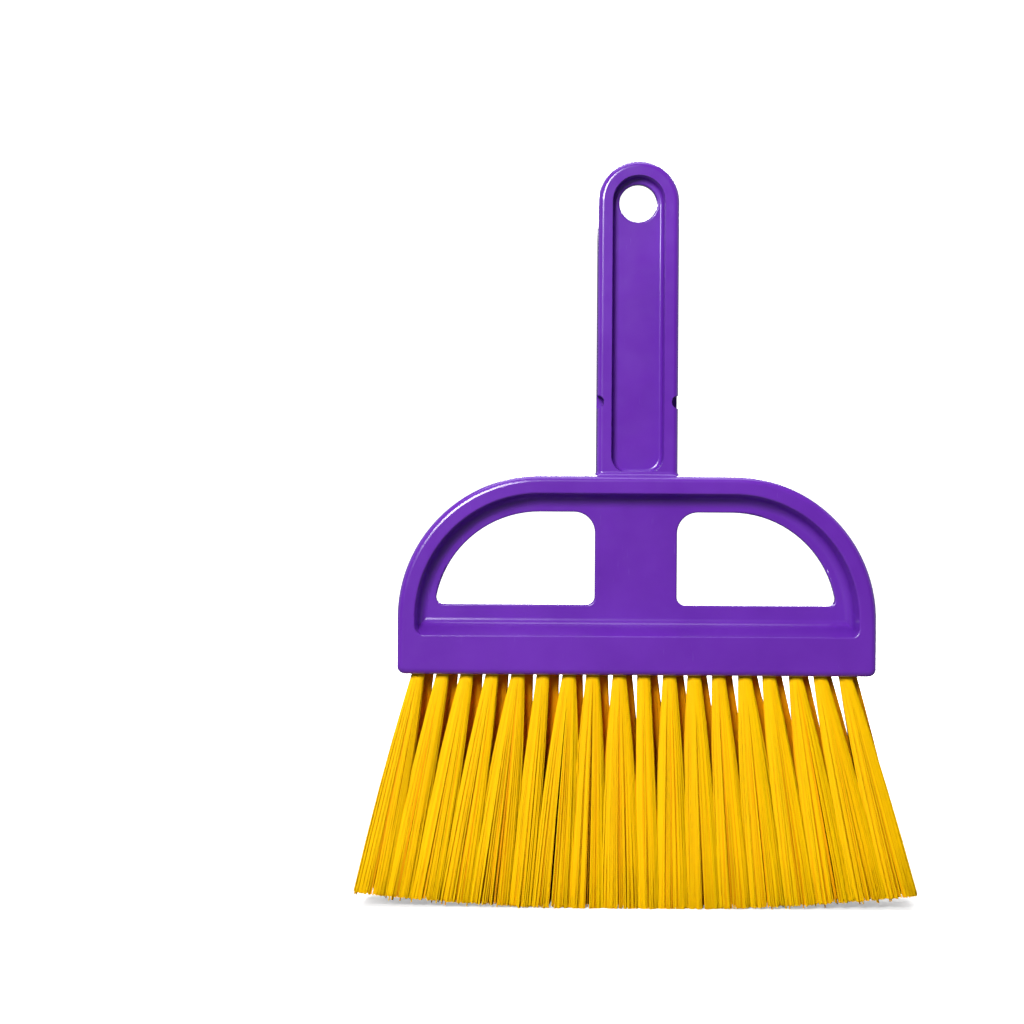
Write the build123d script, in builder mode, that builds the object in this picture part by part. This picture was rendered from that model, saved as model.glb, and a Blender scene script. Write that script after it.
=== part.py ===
"""A hand broom: handle and D-shaped head moulded in one, with two rows of stapled bristle tufts.

Millimetres. +Z runs up the handle and the broom stands on its bristle tips at z = 0.
The front faces -Y, and the origin is under the middle of the head.
"""
import os
from math import cos, radians, sin, sqrt, tan

from build123d import *

os.makedirs("parts", exist_ok=True)

# Bristle field
bristle_length = 76.6
tufts_per_row = 18
row_end_margin = 6.6
row_spacing = 8.6
row_stagger = 3.0
fan_tilt = 12.5
row_tilt = 2.2

# Head: a block, the arch's straight sides above it, and two quarter-round shoulders beside a flat crown
crown_width = 64.2
head_arc_radius = 47.0
head_side_height = 6.0
head_foot_thickness = 20.5
head_top_thickness = 18.5
head_corner_radius = 2.6
head_edge_radius = 2.0
rim_width = 5.6
web_thickness = 3.0
block_height = 12.8
ramp_height = 3.7
ramp_root_radius = 3.2
pocket_draft = 10.0
pocket_corner_radius = 3.3
pocket_floor_radius = 3.0
mouth_radius = 0.5

# Windows beside the post
window_strip = 6.3
window_foot_strip = 6.4
post_width = 27.4
window_top_radius = 7.0
window_inner_radius = 2.7
window_outer_radius = 2.3
window_lip_radius = 0.6

# Handle
handle_length = 104.6
handle_width = 26.8
handle_thickness = 13.0
handle_edge_radius = 1.8
handle_rim_width = 4.6
handle_root_radius = 1.7
recess_foot_gap = 1.0
recess_foot_flat = 6.2
recess_draft = 7.0
recess_floor_radius = 1.0
hang_hole_lip_radius = 0.6
hang_hole_band = 0.3

# Half-round catches in the handle's front edges
catch_height = 24.7
catch_radius = 2.2
catch_depth = 7.0

# Tuft holes and the flat wire anchors that hold each folded tuft
tuft_hole_diameter = 5.0
tuft_hole_cover = 2.3
tuft_clearance = 0.1
tuft_end_gap = 0.3
tuft_end_radius = 1.4
tuft_collar = 1.0
anchor_bite = 0.2
anchor_thickness = 0.4
anchor_height = 2.0
anchor_cover = 1.6

# Strands: each stands for a lock of filaments, in two rings round the tuft's axis
strand_width = 0.9
strand_root_cover = 1.2
strand_root_inset = 0.85
knee_drop = 20.0
tuft_gap = 0.6
row_gap = 1.65
inner_strands = 3
outer_strands = 9
inner_ring_share = 0.42

# Tips: trimmed to a long arc, which is cut flat where the broom stands
tip_arc_radius = 870.0
standing_cut = 0.5

# Overrun of every cutting tool past the face that it cuts
overrun = 1.0

# Heights and half sizes of the head
head_foot = bristle_length
block_top = head_foot + block_height
arc_height = block_top + head_side_height
head_top = arc_height + head_arc_radius
half_head = crown_width / 2 + head_arc_radius
half_foot = head_foot_thickness / 2
half_top = head_top_thickness / 2
half_web = web_thickness / 2
ramp_top = block_top + ramp_height
window_inset = rim_width + window_strip
window_foot = ramp_top + window_foot_strip

# The handle's heights, its recess, and the hang hole, which leaves a flat band inside the recess
handle_end = head_top + handle_length - handle_width / 2
catch_level = head_top + catch_height
recess_width = handle_width - 2 * handle_rim_width
recess_depth = handle_thickness / 2 - half_web
recess_foot = head_top + recess_foot_gap
recess_foot_radius = (recess_width - recess_foot_flat) / 2
recess_floor_width = recess_width - 2 * (recess_depth * tan(radians(recess_draft)) + recess_floor_radius)
hang_hole_diameter = recess_floor_width - 2 * (hang_hole_lip_radius + hang_hole_band)

# The tufts' pitch and slopes, how far their strands reach, and the holes and anchors that hold them
tuft_pitch = (2 * (half_head - row_end_margin) - row_stagger) / (tufts_per_row - 1)
half_row = (tufts_per_row - 1) / 2
fan_step = tan(radians(fan_tilt / half_row))
row_lean = tan(radians(row_tilt))
tuft_radius = tuft_hole_diameter / 2 - tuft_clearance
tuft_hole_depth = block_height - tuft_hole_cover
anchor_length = tuft_hole_diameter + 2 * anchor_bite


def dome(inset, foot, corner):
    """The head's D outline, drawn in by the inset, with a straight foot and two rounded corners."""
    side = half_head - inset
    radius = head_arc_radius - inset
    crown = head_top - inset
    shoulder = side - radius
    with BuildSketch() as outline:
        with BuildLine():
            Line((-side, foot), (-side, arc_height))
            RadiusArc((-side, arc_height), (-shoulder, crown), radius)
            Line((-shoulder, crown), (shoulder, crown))
            RadiusArc((shoulder, crown), (side, arc_height), radius)
            Line((side, arc_height), (side, foot))
            Line((side, foot), (-side, foot))
        make_face()
        fillet(outline.vertices().group_by(Axis.Y)[0], corner)
    return outline.sketch


def tuft_mouth(column):
    """The mouth of a front row tuft hole, on the head's underside, with its normal up into the block.

    The holes fan out evenly along the row, and the whole row leans a little to the front.
    """
    step = column - half_row
    fan = tan(radians(fan_tilt * step / half_row))
    centre = (step * tuft_pitch - row_stagger / 2, -row_spacing / 2, head_foot)
    return Plane(origin=centre, x_dir=(1, 0, fan), z_dir=(-fan, row_lean, 1))


head_outline = dome(0, head_foot, head_corner_radius)
hollow_outline = dome(rim_width, block_top, pocket_corner_radius)

# The head: a D-shaped block whose faces draw in slightly towards the top of the arch
with BuildPart() as head:
    with BuildSketch(Plane.XZ):
        add(head_outline)
    extrude(amount=half_foot, both=True)
    with BuildSketch(Plane.YZ):
        with BuildLine():
            Polyline(
                (-half_foot, head_foot),
                (half_foot, head_foot),
                (half_top, head_top),
                (-half_top, head_top),
                close=True,
            )
        make_face()
    extrude(amount=half_head, both=True, mode=Mode.INTERSECT)
    head_faces = head.faces().sort_by(Axis.Y)
    fillet(head_faces[0].edges() + head_faces[-1].edges(), head_edge_radius)

# The handle: a bar with rounded edges and a half-round end, its foot sunk into the arch
with BuildPart() as handle:
    with BuildSketch(Plane.XY.offset(head_top - rim_width / 2)):
        RectangleRounded(handle_width, handle_thickness, handle_edge_radius)
    extrude(amount=handle_end - head_top + rim_width / 2)
    with BuildSketch(Plane.XY.offset(handle_end)):
        RectangleRounded(handle_width, handle_thickness, handle_edge_radius)
        Rectangle(handle_width, handle_thickness, align=(Align.MIN, Align.CENTER), mode=Mode.INTERSECT)
    revolve(axis=Axis((0, 0, handle_end), (0, -1, 0)), revolution_arc=180)

# The hollow in the head's front: a rim all round with drafted walls, a flat web, and a ramp to the block
with BuildPart() as head_hollow:
    with BuildSketch(Plane.XZ.offset(half_foot)):
        add(hollow_outline)
    extrude(amount=half_web - half_foot, taper=pocket_draft)
    extrude(head_hollow.faces().sort_by(Axis.Y)[0], amount=overrun)
    fillet(head_hollow.faces().sort_by(Axis.Y)[-1].edges(), pocket_floor_radius)
    with BuildSketch(Plane.YZ) as hollow_depth:
        with BuildLine():
            Polyline(
                (-half_web, ramp_top),
                (-half_foot, block_top),
                (-half_foot - overrun, block_top),
                (-half_foot - overrun, head_top),
                (-half_web, head_top),
                close=True,
            )
        make_face()
        fillet(hollow_depth.vertices().sort_by_distance((-half_web, ramp_top, 0))[0], ramp_root_radius)
    extrude(amount=half_head, both=True, mode=Mode.INTERSECT)

# The hollow in the handle's front: drafted walls, a half-round top and a squarer foot
with BuildPart() as handle_hollow:
    with BuildSketch(Plane.XZ.offset(handle_thickness / 2)) as recess_outline:
        with BuildLine():
            Polyline(
                (-recess_width / 2, handle_end),
                (-recess_width / 2, recess_foot),
                (recess_width / 2, recess_foot),
                (recess_width / 2, handle_end),
            )
            RadiusArc((-recess_width / 2, handle_end), (recess_width / 2, handle_end), recess_width / 2)
        make_face()
        fillet(recess_outline.vertices().group_by(Axis.Y)[0], recess_foot_radius)
    extrude(amount=-recess_depth, taper=recess_draft)
    fillet(handle_hollow.faces().sort_by(Axis.Y)[-1].edges(), recess_floor_radius)

# The windows: one on each side of the post, their outer edges running along inside the arch
window_radius = head_arc_radius - window_inset
window_crown = head_top - window_inset
window_shoulder = crown_width / 2
window_side = window_shoulder + sqrt(window_radius**2 - (window_foot - arc_height) ** 2)
with BuildPart() as windows:
    with BuildSketch(Plane.XZ) as window_outlines:
        with BuildLine():
            Polyline(
                (window_side, window_foot),
                (post_width / 2, window_foot),
                (post_width / 2, window_crown),
                (window_shoulder, window_crown),
            )
            RadiusArc((window_shoulder, window_crown), (window_side, window_foot), window_radius)
        make_face()
        for corner, radius in (
            ((post_width / 2, window_crown), window_top_radius),
            ((post_width / 2, window_foot), window_inner_radius),
            ((window_side, window_foot), window_outer_radius),
        ):
            fillet(window_outlines.vertices().sort_by_distance((*corner, 0))[0], radius)
        mirror(about=Plane.YZ)
    extrude(amount=half_foot, both=True)

# The catches: half-round nicks in the handle's two front edges
with BuildPart() as catches:
    with BuildSketch(Plane.XZ.offset(handle_thickness / 2)):
        with Locations((-handle_width / 2, catch_level), (handle_width / 2, catch_level)):
            Circle(catch_radius)
    extrude(amount=-catch_depth)

# The anchors of the front row: short flat steel wires, each driven across its hole into the plastic
mouths = [tuft_mouth(column) for column in range(tufts_per_row)]
anchor_level = tuft_hole_depth - tuft_end_gap - anchor_cover - anchor_height / 2
with BuildPart() as front_anchors:
    with Locations(*[mouth.offset(anchor_level) for mouth in mouths]):
        Box(anchor_length, anchor_thickness, anchor_height)

# The seats of the front row: a blind hole for each tuft, and the slots that its anchor cuts
with BuildPart() as tuft_seats:
    with Locations(*[mouth.offset(-overrun) for mouth in mouths]):
        Cylinder(
            tuft_hole_diameter / 2,
            tuft_hole_depth + overrun,
            align=(Align.CENTER, Align.CENTER, Align.MIN),
        )
    add(front_anchors.part)

# The moulding: head and handle in one, hollowed on both sides, with its windows and holes
with BuildPart() as broom_body:
    add(head.part)
    add(handle.part)
    handle_root = [face for face in broom_body.faces().filter_by(Axis.Z) if face.inner_wires()][0]
    fillet(handle_root.inner_wires().edges(), handle_root_radius)
    for hollow in (head_hollow.part, handle_hollow.part):
        add(hollow, mode=Mode.SUBTRACT)
        add(hollow.mirror(Plane.XZ), mode=Mode.SUBTRACT)
    upright_faces = broom_body.faces() - broom_body.faces().filter_by(Axis.Z)
    for rim in [face for face in upright_faces if face.inner_wires()]:
        fillet(rim.inner_wires().edges(), mouth_radius)
    add(windows.part, mode=Mode.SUBTRACT)
    webs = broom_body.faces().filter_by(Axis.Y)
    for web in [face for face in webs if face.inner_wires() and abs(face.center().Y) < web_thickness]:
        fillet(web.inner_wires().edges(), window_lip_radius)
    with BuildSketch(Plane.XZ):
        with Locations((0, handle_end)):
            Circle(hang_hole_diameter / 2)
    extrude(amount=handle_thickness, both=True, mode=Mode.SUBTRACT)
    fillet(broom_body.edges(Select.LAST).filter_by(GeomType.CIRCLE), hang_hole_lip_radius)
    add(catches.part, mode=Mode.SUBTRACT)
    add(tuft_seats.part, mode=Mode.SUBTRACT)
    add(tuft_seats.part.rotate(Axis.Z, 180), mode=Mode.SUBTRACT)
broom_body.part.label = "broom_body"
export_step(broom_body.part, "parts/broom_body.step")


def ring_point(mouth, drop, angle, ring_share):
    """A point of a tuft's ring of strands, at the given drop below the head.

    Below the head the ring is as wide as leaves the gap to the next tuft, and as deep as leaves
    half the gap to the other row.
    """
    if drop < 0:
        reach = depth = tuft_radius - strand_root_inset
    else:
        reach = (tuft_pitch + drop * fan_step - strand_width - tuft_gap) / 2
        depth = row_spacing / 2 + drop * row_lean - (strand_width + row_gap) / 2
    centre = mouth.origin - mouth.z_dir * (drop / mouth.z_dir.Z)
    return centre + Vector(reach * cos(radians(angle)), depth * sin(radians(angle)), 0) * ring_share


def strand_points(mouth, angle, ring_share):
    """The strand's root inside the packed tuft, its knee, and its tip on the trimmed arc."""
    root, knee, tip = (
        ring_point(mouth, drop, angle, ring_share) for drop in (-strand_root_cover, knee_drop, head_foot)
    )
    tip.Z = max(0, tip.X**2 / (2 * tip_arc_radius) - standing_cut)
    return root, knee, tip


def strand_runs(points, angle):
    """The strand's two straight runs, both with the same square section, which stays level."""
    for start, end in zip(points, points[1:]):
        with BuildSketch(Plane(origin=start)) as section:
            Rectangle(strand_width, strand_width, rotation=angle)
        yield extrude(section.sketch, amount=(end - start).length, dir=end - start, mode=Mode.PRIVATE)


def make_tuft(mouth):
    """A tuft: its packed root, folded over the anchor in its hole, and the strands that spread from it."""
    runs = []
    for count, ring_share in ((inner_strands, inner_ring_share), (outer_strands, 1)):
        for number in range(count):
            angle = 360 * number / count
            runs.extend(strand_runs(strand_points(mouth, angle, ring_share), angle))
    with BuildPart() as tuft:
        with Locations(mouth.offset(-tuft_collar)):
            Cylinder(
                tuft_radius,
                tuft_hole_depth - tuft_end_gap + tuft_collar,
                align=(Align.CENTER, Align.CENTER, Align.MIN),
            )
        fillet(tuft.edges().group_by(Axis.Z)[-1], tuft_end_radius)
        add(runs)
        with Locations(mouth.offset(anchor_level)):
            Box(anchor_length, anchor_thickness, anchor_height, mode=Mode.SUBTRACT)
    return tuft.part


# The back row is the front row turned half round. Both are numbered from the left, seen from the front.
front_row = {"front_row_anchors": front_anchors.part}
back_row = {"back_row_anchors": front_anchors.part.rotate(Axis.Z, 180)}
for column, mouth in enumerate(mouths):
    front_tuft = make_tuft(mouth)
    front_row[f"front_tuft_{column + 1:02d}"] = front_tuft
    back_row[f"back_tuft_{tufts_per_row - column:02d}"] = front_tuft.rotate(Axis.Z, 180)
for name, piece in (front_row | back_row).items():
    piece.label = name
    export_step(piece, f"parts/{name}.step")
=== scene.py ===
"""A hand broom: a moulded handle and head with two rows of stapled tufts, dressed for rendering.

Metres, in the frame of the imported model: +Z runs up the handle, the front faces -Y, and the broom
stands on its bristle tips at z = 0.
"""
from math import radians

import bpy
import numpy as np
from mathutils import Matrix, Vector


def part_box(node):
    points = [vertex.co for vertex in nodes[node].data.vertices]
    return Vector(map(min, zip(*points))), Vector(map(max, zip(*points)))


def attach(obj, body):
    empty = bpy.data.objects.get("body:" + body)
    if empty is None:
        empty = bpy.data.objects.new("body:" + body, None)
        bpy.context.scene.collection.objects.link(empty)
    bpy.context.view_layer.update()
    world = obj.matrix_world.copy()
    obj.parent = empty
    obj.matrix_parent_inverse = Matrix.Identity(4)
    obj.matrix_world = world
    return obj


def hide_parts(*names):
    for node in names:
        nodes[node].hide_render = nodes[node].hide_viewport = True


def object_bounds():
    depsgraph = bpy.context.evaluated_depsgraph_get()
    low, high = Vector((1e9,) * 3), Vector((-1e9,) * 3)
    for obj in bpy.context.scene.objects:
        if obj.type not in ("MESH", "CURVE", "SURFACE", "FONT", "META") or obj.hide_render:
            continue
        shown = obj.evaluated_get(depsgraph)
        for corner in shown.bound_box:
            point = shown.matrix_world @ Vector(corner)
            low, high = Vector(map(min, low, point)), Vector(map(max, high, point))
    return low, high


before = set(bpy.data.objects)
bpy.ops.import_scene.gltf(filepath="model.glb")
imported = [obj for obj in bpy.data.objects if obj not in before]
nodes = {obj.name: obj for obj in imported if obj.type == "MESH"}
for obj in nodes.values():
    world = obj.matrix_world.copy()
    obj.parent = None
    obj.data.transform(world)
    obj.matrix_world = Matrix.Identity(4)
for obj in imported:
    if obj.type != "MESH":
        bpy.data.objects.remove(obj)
bpy.context.view_layer.update()
cad_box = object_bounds()
MM = 0.001

# The handle and head: one injection moulding in purple polypropylene, with a satin gloss from a polished
# mould. The shot that filled it left long flow marks, and handling left fine pale scratches.


def linear(code):
    """The linear colour of an sRGB hex code such as "7a3fbf"."""
    share = np.array([int(code[i:i + 2], 16) for i in (0, 2, 4)]) / 255
    return (*np.where(share <= 0.04045, share / 12.92, ((share + 0.055) / 1.055) ** 2.4), 1)


def per(size_mm):
    """The scale of a pattern whose features measure the given size in millimetres."""
    return 1000 / size_mm


def add_node(tree, kind, inputs=None, **settings):
    """Adds a node, sets its properties, and sets or links its inputs, each by name or number."""
    node = tree.nodes.new("ShaderNode" + kind)
    for name, value in settings.items():
        setattr(node, name, value)
    for key, value in (inputs or {}).items():
        if isinstance(value, bpy.types.NodeSocket):
            tree.links.new(value, node.inputs[key])
        else:
            node.inputs[key].default_value = value
    return node


def new_material(name):
    """An empty node material and its tree."""
    material = bpy.data.materials.new(name)
    material.use_nodes = True
    material.node_tree.nodes.clear()
    return material, material.node_tree


def moulded_polypropylene():
    """Satin polypropylene: flow marks and scratches in its colour, grain and ripple in its bump."""
    base, pale, scratch_colour = linear("5f24a0"), linear("672baa"), linear("9a72d2")
    flow_mark, ripple, grain, scratch_width, scratch_patch = 26, 5, 0.5, 0.35, 14
    material, tree = new_material("moulded_polypropylene")
    place = add_node(tree, "TexCoord").outputs["Object"]
    flow = add_node(tree, "TexNoise", {"Vector": place, "Scale": per(flow_mark), "Detail": 3})
    tint = add_node(tree, "MapRange", {"Value": flow.outputs["Fac"], "From Min": 0.35, "From Max": 0.7})
    colour = add_node(tree, "Mix", {0: tint.outputs[0], 6: base, 7: pale}, data_type="RGBA").outputs[2]
    patch = add_node(tree, "TexNoise", {"Vector": place, "Scale": per(scratch_patch), "Detail": 1})
    patch = add_node(tree, "MapRange", {"Value": patch.outputs["Fac"], "From Min": 0.55, "From Max": 0.65})
    marks = patch.outputs[0]
    roughness = 0.21
    for turn in (24, 101):
        turned = add_node(
            tree, "Mapping",
            {"Vector": place, "Rotation": (0, radians(turn), 0), "Scale": (1, 0.1, 0.045)},
        )
        lines = add_node(tree, "TexNoise", {"Vector": turned.outputs[0], "Scale": per(scratch_width)})
        lines = add_node(tree, "MapRange", {"Value": lines.outputs["Fac"], "From Min": 0.71, "From Max": 0.77})
        share = add_node(tree, "Math", {0: lines.outputs[0], 1: marks}, operation="MULTIPLY")
        share = add_node(tree, "Math", {0: share.outputs[0], 1: 0.25}, operation="MULTIPLY")
        colour = add_node(tree, "Mix", {0: share.outputs[0], 6: colour, 7: scratch_colour}, data_type="RGBA")
        colour = colour.outputs[2]
    gloss = add_node(tree, "TexNoise", {"Vector": place, "Scale": per(ripple), "Detail": 4})
    gloss = add_node(
        tree, "MapRange",
        {"Value": gloss.outputs["Fac"], "To Min": roughness - 0.05, "To Max": roughness + 0.07},
    )
    waves = add_node(tree, "TexNoise", {"Vector": place, "Scale": per(ripple), "Detail": 1})
    bump = add_node(
        tree, "Bump", {"Height": waves.outputs["Fac"], "Strength": 0.12, "Distance": 0.06 * MM}
    )
    fine = add_node(tree, "TexNoise", {"Vector": place, "Scale": per(grain), "Detail": 2})
    bump = add_node(
        tree, "Bump",
        {"Height": fine.outputs["Fac"], "Strength": 0.1, "Distance": 0.02 * MM, "Normal": bump.outputs[0]},
    )
    surface = add_node(
        tree, "BsdfPrincipled",
        {
            "Base Color": colour,
            "Roughness": gloss.outputs[0],
            "IOR": 1.49,
            "Normal": bump.outputs[0],
        },
    )
    add_node(tree, "OutputMaterial", {"Surface": surface.outputs[0]})
    return material


body = nodes["broom_body"]
body.data.materials.clear()
body.data.materials.append(moulded_polypropylene())

# The tufts: each is a bundle of yellow filament folded over its anchor, so that both ends hang out of the
# hole. Packed round in the hole, it opens slowly to a blunt square, where it presses on its neighbours.
# Use has pushed each tuft a little to one side, and the trimmed tips lie on a long arc.

TUFTS_PER_ROW = 18
FILAMENTS_PER_TUFT = 260
FILAMENT_SIDES = 5
ROOT_RADIUS = 0.18 * MM
TIP_RADIUS = 0.25 * MM
TUFT_PITCH = 8.35 * MM
ROW_SPACING = 8.6 * MM
ROW_STAGGER = 3.0 * MM
FAN_TILT = 12.5
ROW_TILT = 2.2
PACKED_RADIUS = 2.05 * MM
FOLD_RADIUS = 1.5 * MM
FOLD_HEIGHT = 9.0 * MM
OPENING_RUN = 60 * MM
TIP_DEPTH = 4.6 * MM
SQUARENESS = 0.7
RIM_CROWDING = 0.23
MOUTH_LEAN = 0.35 * MM
TIP_ARC_RADIUS = 870 * MM
STANDING_CUT = 0.5 * MM
GOLDEN_ANGLE = np.pi * (3 - np.sqrt(5))

# The front tufts from left to right: how far use has pushed their tips to the right, and half their width
TIP_SHIFT = np.array([14, 2, -12, -17, -2, -2, -6, 8, 19, 7, -17, -18, -17, -11, -7, 1, 17, 23]) * 0.1 * MM
TIP_REACH = np.array([61, 47, 54, 57, 74, 41, 70, 59, 67, 36, 56, 59, 57, 64, 56, 69, 62, 60]) * 0.1 * MM

block_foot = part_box("broom_body")[0].z
side_limit = cad_box[1].x - 0.1 * MM
half_row = (TUFTS_PER_ROW - 1) / 2
row_lean = np.tan(radians(ROW_TILT))


def filament_paths(random, centre, fan, lean, tip_shift, tip_reach):
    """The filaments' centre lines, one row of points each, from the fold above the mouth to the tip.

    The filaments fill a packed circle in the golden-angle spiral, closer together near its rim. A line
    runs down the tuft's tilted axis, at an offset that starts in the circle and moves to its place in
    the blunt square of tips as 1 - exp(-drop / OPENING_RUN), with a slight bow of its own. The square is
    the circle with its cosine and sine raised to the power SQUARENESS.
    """
    count = FILAMENTS_PER_TUFT
    angle = np.arange(count) * GOLDEN_ANGLE + random.uniform(-0.1, 0.1, count) + random.uniform(0, 6)
    ring = ((np.arange(count) + 0.5) / count) ** RIM_CROWDING
    across = np.stack([np.cos(angle), np.sin(angle)], 1)
    packed = across * (ring * PACKED_RADIUS)[:, None]
    packed[:, 0] += random.uniform(-MOUTH_LEAN, MOUTH_LEAN)
    blunt = np.sign(across) * np.abs(across) ** SQUARENESS
    wander = random.normal(0, 0.2, (count, 2)) * MM
    wide = blunt * ring[:, None] * (tip_reach, TIP_DEPTH) + wander
    strays = random.random(count) < 0.015
    wide[strays, 0] += random.normal(0, 1.4, strays.sum()) * MM
    bow = random.normal(0, 0.16, (count, 2)) * MM
    tip_x = centre[0] + fan * block_foot + tip_shift + wide[:, 0]
    wide[:, 0] += np.clip(tip_x, -side_limit, side_limit) - tip_x
    trim = tip_x**2 / (2 * TIP_ARC_RADIUS) - STANDING_CUT
    tip_z = trim + random.exponential(0.35, count) * MM
    long_ones = random.random(count) < 0.03
    tip_z[long_ones] -= random.uniform(0.6, 1.6, long_ones.sum()) * MM
    drop_end = block_foot - np.maximum(tip_z, 0)
    shares = np.array([0, 0.06, 0.16, 0.32, 0.52, 0.76, 1])
    drop = shares[None, :] * drop_end[:, None]
    opened = (1 - np.exp(-drop / OPENING_RUN)) / (1 - np.exp(-block_foot / OPENING_RUN))
    offset = packed[:, None] * (1 - opened[..., None]) + wide[:, None] * opened[..., None]
    offset[..., 0] += tip_shift * shares
    offset += bow[:, None] * np.sin(np.pi * shares)[None, :, None]
    below = np.empty((count, len(shares), 3))
    below[..., 0] = centre[0] + fan * drop + offset[..., 0]
    below[..., 1] = centre[1] + lean * drop + offset[..., 1]
    below[..., 2] = block_foot - drop
    rise = np.array([1, 0.5])[None, :] * FOLD_HEIGHT
    narrow = FOLD_RADIUS / PACKED_RADIUS
    above = np.empty((count, 2, 3))
    above[..., 0] = centre[0] - fan * rise + packed[:, :1] * narrow
    above[..., 1] = centre[1] - lean * rise + packed[:, 1:] * narrow
    above[..., 2] = block_foot + rise
    return np.concatenate([above, below], 1), across * ring[:, None]


def tube_mesh(name, paths, shade_and_tones, outward):
    """Tubes with level rings round the paths, closed at both ends.

    A ring's corner is centre + radius * (cos, sin, 0), where the radius grows from root to tip. That
    stands for filaments that the bundle lets part as it opens. The tube's tone, which carries painted
    shade as well as a random tone, and the direction in which the tuft's own surface faces beside it, are
    kept as attributes of the points.
    """
    rings = paths.shape[1]
    turn = 2 * np.pi * np.arange(FILAMENT_SIDES) / FILAMENT_SIDES
    radius = np.linspace(ROOT_RADIUS, TIP_RADIUS, rings)[:, None, None]
    points = paths[:, :, None] + np.stack([np.cos(turn), np.sin(turn), 0 * turn], 1) * radius
    index = np.arange(points[..., 0].size).reshape(points.shape[:3])
    after = np.roll(index, -1, 2)
    walls = np.stack([index[:, :-1], index[:, 1:], after[:, 1:], after[:, :-1]], -1).reshape(-1, 4)
    ends = np.concatenate([index[:, 0], index[:, -1, ::-1]])
    sizes = np.repeat([4, FILAMENT_SIDES], [len(walls), len(ends)])
    mesh = bpy.data.meshes.new(name)
    mesh.vertices.add(points[..., 0].size)
    mesh.vertices.foreach_set("co", points.ravel())
    mesh.loops.add(sizes.sum())
    mesh.loops.foreach_set("vertex_index", np.concatenate([walls.ravel(), ends.ravel()]))
    mesh.polygons.add(len(sizes))
    mesh.polygons.foreach_set("loop_start", np.cumsum(sizes) - sizes)
    mesh.polygons.foreach_set("use_smooth", sizes == 4)
    point_shade_and_tones = np.repeat(shade_and_tones.astype(np.float32), rings * FILAMENT_SIDES)
    mesh.attributes.new("shade_and_tone", "FLOAT", "POINT").data.foreach_set("value", point_shade_and_tones)
    facing = np.zeros((*index.shape, 3), np.float32)
    facing[..., :2] = outward[:, None, None]
    mesh.attributes.new("facing", "FLOAT_VECTOR", "POINT").data.foreach_set("vector", facing.ravel())
    mesh.update(calc_edges=True)
    mesh.validate()
    return mesh


def drawn_filament():
    """Yellow polypropylene filament, drawn smooth and a little clear.

    Each filament has a tone between bright yellow and deep orange. The deep orange inside the bundle
    and on the tuft's flanks is painted shade, for the light that has soaked through more filament there; on
    top of it the tone varies at random from filament to filament. That light also evens out the shade round
    each filament. A share of clear scattering stands for that, and a normal that is mostly the tuft's.
    """
    deep_and_shade_orange, bright = linear("fbaa00"), linear("ffcc00")
    own_share, clear_share = 0.2, 0.06
    material, tree = new_material("drawn_filament")
    # The tone mixes the deep orange of painted shade with the bright yellow of the lit face
    shade_and_tone = add_node(tree, "Attribute", attribute_name="shade_and_tone").outputs["Fac"]
    colour = add_node(tree, "Mix", {0: shade_and_tone, 6: deep_and_shade_orange, 7: bright}, data_type="RGBA").outputs[2]
    facing = add_node(tree, "Attribute", attribute_name="facing").outputs["Vector"]
    own = add_node(tree, "NewGeometry").outputs["Normal"]
    own = add_node(tree, "VectorMath", {0: own, "Scale": own_share}, operation="SCALE")
    turned = add_node(tree, "VectorMath", {0: own.outputs[0], 1: facing}, operation="ADD")
    turned = add_node(tree, "VectorMath", {0: turned.outputs[0]}, operation="NORMALIZE").outputs[0]
    surface = add_node(
        tree, "BsdfPrincipled",
        {
            "Base Color": colour,
            "Roughness": 0.5,
            "IOR": 1.49,
            "Specular IOR Level": 0.08,
            "Normal": turned,
        },
    )
    clear = add_node(tree, "BsdfTranslucent", {"Color": colour, "Normal": turned})
    both = add_node(tree, "MixShader", {0: clear_share, 1: surface.outputs[0], 2: clear.outputs[0]})
    add_node(tree, "OutputMaterial", {"Surface": both.outputs[0]})
    material.cycles.use_bump_map_correction = False
    return material


# A filament's tone is painted shade: bright on the tuft's open face, less so on its flanks, and deep orange
# inside the bundle, where shade falls. A random spread is then taken off it.
FACING_SHARE = 0.3
SHADED_INNER_RING = 0.78
FLANK_SHADE_TONE = 0.6
TONE_SPREAD = 0.3
filament_material = drawn_filament()
for row, side in (("front", -1), ("back", 1)):
    shifts, reaches = TIP_SHIFT, TIP_REACH
    if row == "back":
        shifts, reaches = 0.6 * TIP_SHIFT, np.maximum(TIP_REACH[::-1], 5.6 * MM)
    for column in range(TUFTS_PER_ROW):
        name = f"{row}_tuft_{column + 1:02d}"
        random = np.random.default_rng([7, side + 1, column])
        step = column - half_row
        mouth = (step * TUFT_PITCH + side * ROW_STAGGER / 2, side * ROW_SPACING / 2)
        fan = np.tan(radians(FAN_TILT * step / half_row))
        paths, outward = filament_paths(
            random, mouth, fan, side * row_lean, shifts[column], reaches[column]
        )
        open_side = outward[:, 1] * side
        facing = outward * FACING_SHARE
        facing[:, 1] += np.where(open_side > -0.3, side, -side)
        # Painted shade: filaments inside the bundle and on the tuft's flanks get the deep orange of shade
        unshaded_outer = np.clip(6 * (np.hypot(*outward.T) - SHADED_INNER_RING), 0, 1)
        shade_and_tones = unshaded_outer * np.clip(FLANK_SHADE_TONE + 2 * open_side, 0, 1)
        shade_and_tones = np.clip(shade_and_tones - TONE_SPREAD * random.random(FILAMENTS_PER_TUFT), 0, 1)
        tuft_mesh = tube_mesh(name, paths, shade_and_tones, facing)
        tuft_mesh.materials.append(filament_material)
        tuft = bpy.data.objects.new(name + "_filaments", tuft_mesh)
        bpy.context.scene.collection.objects.link(tuft)
        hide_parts(name)
        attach(tuft, "root")

# The anchors: short lengths of flat steel wire, sheared and driven across the holes. Nothing of them shows
# once the tufts are in, but their own nodes stay, with the grain that drawing leaves along the wire.


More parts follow.
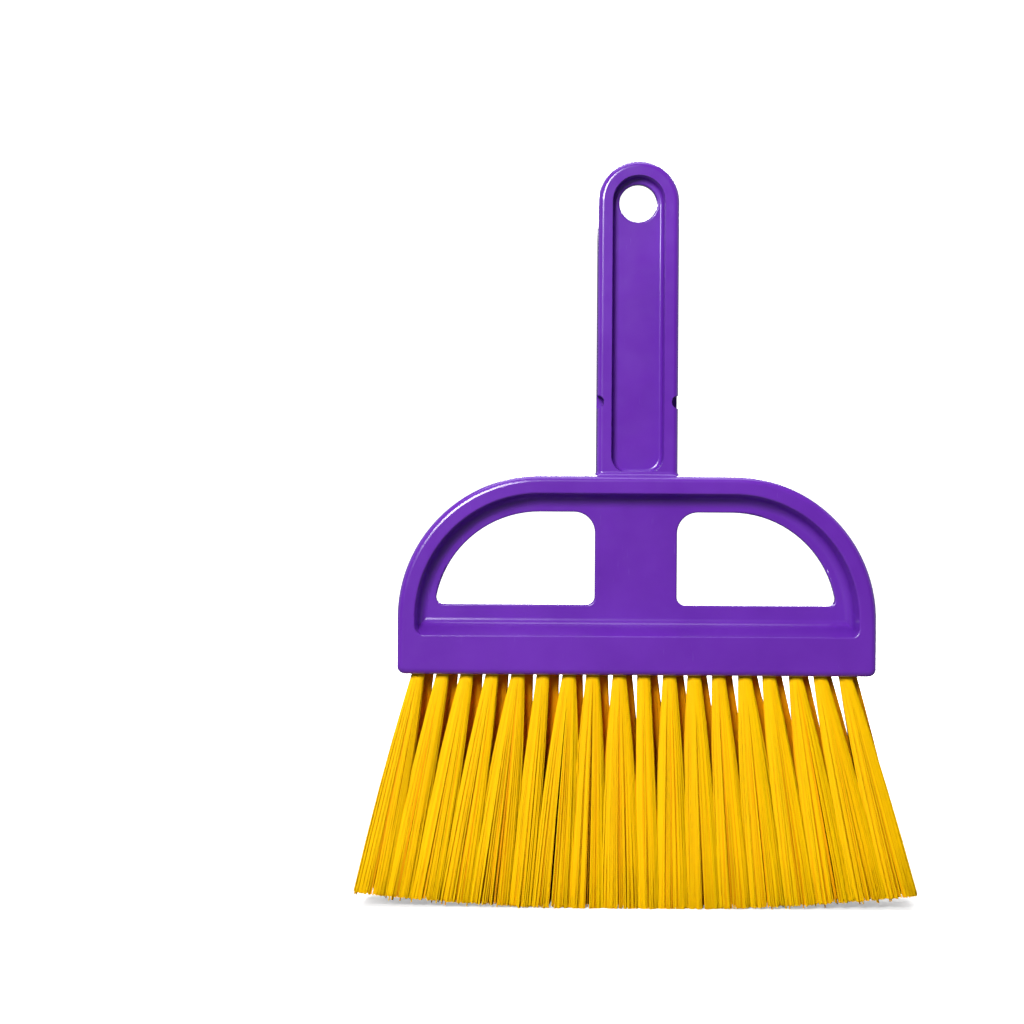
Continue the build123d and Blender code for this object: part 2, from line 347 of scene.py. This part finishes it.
def drawn_wire():
    """Bright flat steel wire, with fine lines along its length."""
    material, tree = new_material("drawn_wire")
    place = add_node(tree, "TexCoord").outputs["Object"]
    along = add_node(tree, "Mapping", {"Vector": place, "Scale": (0.04, 1, 1)})
    lines = add_node(tree, "TexNoise", {"Vector": along.outputs[0], "Scale": per(0.08), "Detail": 2})
    rough = add_node(tree, "MapRange", {"Value": lines.outputs["Fac"], "To Min": 0.25, "To Max": 0.5})
    surface = add_node(
        tree, "BsdfPrincipled",
        {"Base Color": linear("b9b9b4"), "Metallic": 1.0, "Roughness": rough.outputs[0]},
    )
    add_node(tree, "OutputMaterial", {"Surface": surface.outputs[0]})
    return material


wire_material = drawn_wire()
for row in ("front", "back"):
    anchors = nodes[f"{row}_row_anchors"]
    anchors.data.materials.clear()
    anchors.data.materials.append(wire_material)

# The studio: a white sweep that is floor in front and wall behind. It looks white to the camera and
# keeps the broom's shadow. In the broom's gloss its floor is grey and its wall pale.

SWEEP_HALF_WIDTH = 4.0
SWEEP_FRONT = -3.0
SWEEP_BACK = 2.5
SWEEP_RADIUS = 1.2
SWEEP_TOP = 4.0
NEAR_LIFT = 0.4
FLOOR_GLEAM = 0.1
WALL_GLEAM = 0.3


def white_sweep():
    """A matt paper that reads as white to the camera and keeps the broom's shadow.

    Its light on the broom is that of a dark grey paper, so that the hollows stay dark. The camera sees it
    white, and lifted to full white away from the broom. Gloss sees it grey, and paler up the wall.
    """
    material, tree = new_material("white_sweep")
    paths = add_node(tree, "LightPath").outputs
    place = add_node(tree, "TexCoord").outputs["Object"]
    away = add_node(tree, "VectorMath", {0: place}, operation="LENGTH").outputs["Value"]
    height = add_node(tree, "SeparateXYZ", {0: place}).outputs["Z"]
    lift = add_node(
        tree, "MapRange",
        {"Value": away, "From Min": 0.2, "From Max": 0.9, "To Min": NEAR_LIFT, "To Max": 1.0},
    )
    gleam = add_node(
        tree, "MapRange",
        {"Value": height, "From Min": 0.1, "From Max": 1.2, "To Min": FLOOR_GLEAM, "To Max": WALL_GLEAM},
    )
    lift = add_node(tree, "Math", {0: lift.outputs[0], 1: paths["Is Camera Ray"]}, operation="MULTIPLY")
    mirror = add_node(
        tree, "Math", {0: paths["Is Glossy Ray"], 1: paths["Is Transmission Ray"]}, operation="MAXIMUM"
    )
    lift = add_node(
        tree, "Math", {0: mirror.outputs[0], 1: gleam.outputs[0], 2: lift.outputs[0]},
        operation="MULTIPLY_ADD",
    )
    colour = add_node(
        tree, "Mix", {0: paths["Is Camera Ray"], 6: linear("606060"), 7: linear("e8e8e8")}, data_type="RGBA"
    )
    matt = add_node(tree, "BsdfDiffuse", {"Color": colour.outputs[2]})
    glow = add_node(tree, "Emission", {"Color": linear("ffffff"), "Strength": lift.outputs[0]})
    both = add_node(tree, "AddShader", {0: matt.outputs[0], 1: glow.outputs[0]})
    add_node(tree, "OutputMaterial", {"Surface": both.outputs[0]})
    return material


quarter = np.linspace(0, np.pi / 2, 17)
curve_y = SWEEP_BACK - SWEEP_RADIUS + SWEEP_RADIUS * np.sin(quarter)
profile_y = np.concatenate([[SWEEP_FRONT], curve_y, [SWEEP_BACK]])
profile_z = np.concatenate([[0], SWEEP_RADIUS * (1 - np.cos(quarter)), [SWEEP_TOP]])
sweep_points = [
    (x, y, z) for x in (-SWEEP_HALF_WIDTH, SWEEP_HALF_WIDTH) for y, z in zip(profile_y, profile_z)
]
steps = len(profile_y)
sweep_mesh = bpy.data.meshes.new("sweep")
sweep_mesh.from_pydata(
    sweep_points, [], [(i, i + steps, i + steps + 1, i + 1) for i in range(steps - 1)]
)
sweep_mesh.polygons.foreach_set("use_smooth", [True] * (steps - 1))
sweep_mesh.materials.append(white_sweep())
sweep = bpy.data.objects.new("sweep", sweep_mesh)
bpy.context.scene.collection.objects.link(sweep)

# The light: a soft box up and to the left of the camera, a wider one overhead, fills behind the broom and
# at its sides, and an even white room.

LAMP_AIM = Vector((0, 0, 0.13))
ROOM_LEVEL = 0.06


def soft_box(name, place, size, level):
    """A square lamp aimed at the broom. The level is what it adds to a white face turned towards it."""
    lamp = bpy.data.lights.new(name, "AREA")
    lamp.size = size
    aim = LAMP_AIM - Vector(place)
    lamp.energy = level * np.pi**2 * aim.length_squared
    box = bpy.data.objects.new(name, lamp)
    box.matrix_world = Matrix.Translation(place) @ aim.to_track_quat("-Z", "Y").to_matrix().to_4x4()
    bpy.context.scene.collection.objects.link(box)


soft_box("key", (-0.34, -1.05, 0.6), 0.36, 1.22)
soft_box("overhead", (-0.1, 0.05, 1.4), 1.1, 0.8)
soft_box("back_fill", (0.1, 1.3, 0.7), 0.6, 0.95)
soft_box("left_side", (-1.4, 0.4, 0.5), 1.8, 0.3)
soft_box("right_side", (1.4, 0.4, 0.5), 1.8, 0.3)

world = bpy.data.worlds.new("room")
world.use_nodes = True
world.node_tree.nodes.clear()
paths = add_node(world.node_tree, "LightPath")
room_level = add_node(
    world.node_tree, "MapRange",
    {"Value": paths.outputs["Is Camera Ray"], "To Min": ROOM_LEVEL, "To Max": 1.0},
)
room = add_node(world.node_tree, "Background", {"Color": linear("ffffff"), "Strength": room_level.outputs[0]})
add_node(world.node_tree, "OutputWorld", {"Surface": room.outputs[0]})
bpy.context.scene.world = world

# The camera: level, square to the head, and to the left of the broom's middle as in the photograph. It is
# turned a little, because the broom leans to the right in the picture.

PICTURE_WIDTH = 1024
FOCAL_PIXELS = 2093
CAMERA_PLACE = (-41.5 * MM, -700 * MM, 130.3 * MM)
CAMERA_ROLL = 0.38

camera_data = bpy.data.cameras.new("camera")
camera_data.sensor_width = 36
camera_data.lens = camera_data.sensor_width * FOCAL_PIXELS / PICTURE_WIDTH
camera = bpy.data.objects.new("camera", camera_data)
level = Matrix.Rotation(radians(90), 4, "X") @ Matrix.Rotation(radians(CAMERA_ROLL), 4, "Z")
camera.matrix_world = Matrix.Translation(CAMERA_PLACE) @ level
bpy.context.scene.collection.objects.link(camera)
bpy.context.scene.camera = camera
bpy.context.scene.view_settings.view_transform = "Standard"
